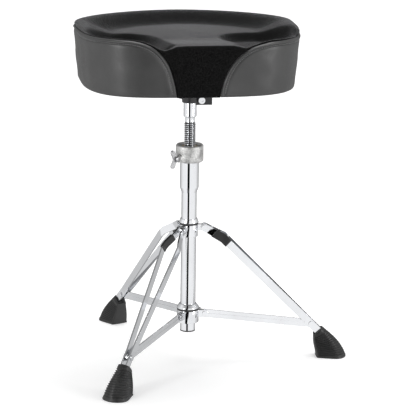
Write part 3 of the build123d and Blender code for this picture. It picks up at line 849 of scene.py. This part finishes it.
spindle_piece = new_piece("spindle_threaded", *spindle(), FINISHES["chrome"], "seat", "chrome")
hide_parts("spindle")
# faces deep in the thread's groove get a second, near black material: painted shade
spindle_piece.data.materials.append(ROOT_SHADE)
for face in spindle_piece.data.polygons:
    middle = face.center
    if THREAD_START * MM < middle.z < THREAD_END * MM and len(face.vertices) == 4:
        if math.hypot(middle.x, middle.y) < (THREAD_R - ROOT_SHARE * THREAD_DEPTH) * MM:
            face.material_index = 1


# ---- feet: ribbed rubber hoofs ----

def arc_points(points, at):
    """Reads a smooth curve through plane points at shares of its length."""
    p = np.array(points, float)
    d = lengths_along(p)
    d /= d[-1]
    return np.stack([through(np.stack([d, p[:, i]], -1), at) for i in (0, 1)], -1)


# the outer and inner edges as (out, up), and the half width by share of the height
FOOT_OUTER = [(316.8, 0), (316.5, 3.5), (314.5, 9), (305.5, 25), (293.5, 39), (281, 50.5),
              (269, 60.4)]
FOOT_INNER = [(257.5, 0), (257, 3.5), (255.2, 12), (253, 21), (251.8, 28), (251, 44.6)]
FOOT_HALF = [(0.0, 24.8), (0.08, 23.8), (0.3, 21.2), (0.6, 16.5), (0.85, 13.1), (1.0, 12.0)]
FOOT_AZIMUTHS = (3.3, 123.3, 243.3)
FOOT_COLUMNS = 34
SPINE = 0.66  # where the foot is widest, from its inner edge
RIBS, RIB_DEPTH, RIB_ROWS = 12, 2.0, 7
RIBS_START, RIBS_END = 0.085, 0.875
LIP = 0.7
LOW_GROOVE, LOW_GROOVE_DEPTH = 0.065, 0.7
TOP_GROOVE, TOP_GROOVE_DEPTH = 0.905, 0.6
GROOVE_WIDTH = 0.012
TOP_WAY, TOP_SINK = np.array([0.55, 0.0, 0.83]), 2.5


def near(t, place):
    """1 at one place, and 0 a little away from it."""
    return np.exp(-((t - place) / GROOVE_WIDTH) ** 2)


def foot():
    """One foot in its leg's own plane: X outwards, Y sideways, Z up."""
    levels = np.concatenate([[0, 0.004, 0.03, 0.045, 0.06, 0.075],
                             np.linspace(RIBS_START, RIBS_END, RIBS * RIB_ROWS + 1),
                             [0.885, 0.9, 0.915, 0.93, 0.97, 0.99, 1.0]])
    outer = arc_points(FOOT_OUTER, levels)
    inner = arc_points(FOOT_INNER, levels)
    half = through(FOOT_HALF, levels)
    u = 0.5 - 0.5 * np.cos(np.linspace(0, math.pi, FOOT_COLUMNS))
    verts = []
    for k, t in enumerate(levels):
        heel = 0.72 + 0.2 * t
        body = heel + (1 - heel) * smoothstep(u / SPINE)
        toe = np.clip((u - SPINE) / (1 - SPINE), 0, 1)
        width = half[k] * body * (1 - toe**2.2) ** 0.62
        corner = np.clip(u / 0.05, 0, 1)
        width *= np.sqrt(1 - (1 - corner) ** 2)
        on_ribs = smoothstep((t - 0.08) / 0.02) * smoothstep((0.88 - t) / 0.02)
        wave = 0.5 - 0.5 * math.cos(2 * math.pi * (t - RIBS_START) / (RIBS_END - RIBS_START) * RIBS)
        flank = smoothstep((u - 0.05) / 0.04) * (1 - 0.8 * near(u, 1))
        out = LIP * (t < 0.05) - RIB_DEPTH * on_ribs * wave * flank
        out -= LOW_GROOVE_DEPTH * near(t, LOW_GROOVE) + TOP_GROOVE_DEPTH * near(t, TOP_GROOVE)
        along = np.hypot(*(outer[k] - inner[k])) * u
        across = np.gradient(width)
        forward = np.gradient(along)
        size = np.hypot(across, forward)
        side = np.maximum(width + out * forward / size, 0)
        side[0] = side[-1] = 0
        reach = u - out * across / size / along[-1]
        x = inner[k, 0] + (outer[k, 0] - inner[k, 0]) * reach
        z = inner[k, 1] + (outer[k, 1] - inner[k, 1]) * reach
        verts += [(x[i], side[i], z[i]) for i in range(FOOT_COLUMNS)]
        verts += [(x[i], -side[i], z[i]) for i in range(FOOT_COLUMNS - 2, 0, -1)]
    around = 2 * FOOT_COLUMNS - 2
    # the top sinks a little round the bars
    rim = np.array(verts[-around:])
    middle = rim.mean(0)
    for share, sink in ((0.86, 0.0), (0.80, TOP_SINK)):
        verts += [tuple(p) for p in middle + (rim - middle) * share - TOP_WAY * sink]
    verts.append(tuple(middle - TOP_WAY * TOP_SINK))
    rows = len(levels) + 2
    faces = grid_faces(rows, around, True)
    tip = len(verts) - 1
    start = (rows - 1) * around
    faces += [(start + k, start + (k + 1) % around, tip) for k in range(around)]
    faces.append(list(range(around))[::-1])
    return verts, faces


foot_verts, foot_faces = foot()
for number, azimuth in enumerate(FOOT_AZIMUTHS, 1):
    c, s = math.cos(math.radians(azimuth)), math.sin(math.radians(azimuth))
    turned = [(x * c - y * s, x * s + y * c, z) for x, y, z in foot_verts]
    rubber = new_piece(f"leg{number}_ribbed_foot", turned, foot_faces, FINISHES["black_rubber"],
                       f"leg_{number}", "black_rubber")
    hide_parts(f"leg{number}_foot")


# ---- floor, light and camera ----

FLOOR_REACH = 30.0
FLOOR_DROP = 0.0005
FLOOR_GREY = 0.86
FLOOR_GLOW = (0.36, 0.70, 0.7, 4.0)  # near and far strength, near and far distance


def stage_floor():
    """A white floor that glows more with distance, so that it fades into the background."""
    mesh = bpy.data.meshes.new("studio_floor")
    r = FLOOR_REACH
    mesh.from_pydata([(-r, -r, 0), (r, -r, 0), (r, r, 0), (-r, r, 0)], [], [(0, 1, 2, 3)])
    obj = bpy.data.objects.new("studio_floor", mesh)
    bpy.context.scene.collection.objects.link(obj)
    mat, tree, shader = material("studio_white", (FLOOR_GREY,) * 3, 0.0, 0.9,
                                 Specular_IOR_Level=0.0, Emission_Color=(1, 1, 1, 1))
    coords = tree.nodes.new("ShaderNodeTexCoord")
    away = tree.nodes.new("ShaderNodeVectorMath")
    away.operation = "LENGTH"
    tree.links.new(coords.outputs["Object"], away.inputs[0])
    tree.links.new(spread(tree, away.outputs["Value"], *FLOOR_GLOW),
                   shader.inputs["Emission Strength"])
    obj.data.materials.append(mat)
    obj.location.z = -FLOOR_DROP
    obj.visible_glossy = False


stage_floor()


# grey level by degrees of azimuth, and by the upward part of a direction
AROUND = [(-180, 0.28), (-156, 0.30), (-138, 0.48), (-112, 0.66), (-90, 0.95), (-23, 1.0),
          (-20, 0.0), (3, 0.0), (5.5, 1.0), (90, 0.95), (112, 0.66), (138, 0.48), (156, 0.30),
          (180, 0.28)]
UPWARD = [(-1.0, 0.02), (-0.93, 0.02), (-0.87, 1.0), (0.62, 1.0), (0.80, 0.35), (1.0, 0.12)]
WORLD_STRENGTH = 1.12


def grey_ramp(tree, value, stops):
    """A colour ramp between grey levels at places from 0 to 1."""
    ramp = tree.nodes.new("ShaderNodeValToRGB")
    marks = ramp.color_ramp.elements
    while len(marks) < len(stops):
        marks.new(0.5)
    for mark, (place, level) in zip(marks, stops):
        mark.position = place
        mark.color = (level, level, level, 1)
    tree.links.new(value, ramp.inputs["Fac"])
    return ramp.outputs["Color"]


def studio_world():
    """White surroundings, grey behind and dark in a gap in front, for the chrome to show."""
    world = bpy.data.worlds.new("studio")
    bpy.context.scene.world = world
    world.use_nodes = True
    tree = world.node_tree
    back = tree.nodes["Background"]
    coords = tree.nodes.new("ShaderNodeTexCoord")
    parts = tree.nodes.new("ShaderNodeSeparateXYZ")
    tree.links.new(coords.outputs["Generated"], parts.inputs[0])
    turn = tree.nodes.new("ShaderNodeMath")
    turn.operation = "ARCTAN2"
    minus = tree.nodes.new("ShaderNodeMath")
    minus.operation = "MULTIPLY"
    minus.inputs[1].default_value = -1
    tree.links.new(parts.outputs["Y"], minus.inputs[0])
    tree.links.new(parts.outputs["X"], turn.inputs[0])
    tree.links.new(minus.outputs[0], turn.inputs[1])
    sideways = grey_ramp(tree, spread(tree, turn.outputs[0], 0.0, 1.0, -math.pi, math.pi),
                         [((degrees + 180) / 360, level) for degrees, level in AROUND])
    upwards = grey_ramp(tree, spread(tree, parts.outputs["Z"], 0.0, 1.0, -1.0, 1.0),
                        [((height + 1) / 2, level) for height, level in UPWARD])
    both = tree.nodes.new("ShaderNodeMix")
    both.data_type = "RGBA"
    both.blend_type = "MULTIPLY"
    both.inputs["Factor"].default_value = 1.0
    tree.links.new(sideways, both.inputs[6])
    tree.links.new(upwards, both.inputs[7])
    tree.links.new(both.outputs[2], back.inputs["Color"])
    back.inputs["Strength"].default_value = WORLD_STRENGTH


studio_world()


def area_light(name, place, target, size, power):
    """A rectangular lamp at a place, facing a target, in metres and watts."""
    light = bpy.data.lights.new(name, "AREA")
    light.shape = "RECTANGLE"
    light.size, light.size_y = size
    light.energy = power
    obj = bpy.data.objects.new(name, light)
    obj.location = place
    obj.rotation_euler = (Vector(target) - Vector(place)).to_track_quat("-Z", "Y").to_euler()
    bpy.context.scene.collection.objects.link(obj)


area_light("key_top", (0.25, 0.7, 3.0), (0, 0, 0.3), (1.8, 1.8), 48)
area_light("strip_left", (-1.75, -1.9, 0.75), (0, 0, 0.6), (0.28, 1.6), 20)
area_light("strip_right", (2.2, -1.2, 0.75), (0, 0, 0.6), (0.24, 1.6), 16)

CAMERA_PLACE = (0.0, -3.9306, 1.27365)
LENS, SENSOR = 178.95, 36.0  # millimetres
PAN, TILT, ROLL_ANGLE = -0.543, 13.853, 0.8  # degrees: to the side, down, and round the view
FARTHEST = 100

camera = bpy.data.objects.new("camera", bpy.data.cameras.new("camera"))
bpy.context.scene.collection.objects.link(camera)
camera.data.sensor_width = SENSOR
camera.data.lens = LENS
camera.location = CAMERA_PLACE
aim = (Euler((0, 0, math.radians(PAN))).to_matrix()
       @ Euler((math.radians(90 - TILT), 0, 0)).to_matrix()
       @ Euler((0, 0, math.radians(ROLL_ANGLE))).to_matrix())
camera.rotation_euler = aim.to_euler()
camera.data.clip_end = FARTHEST
bpy.context.scene.camera = camera
bpy.context.scene.view_settings.view_transform = "Standard"
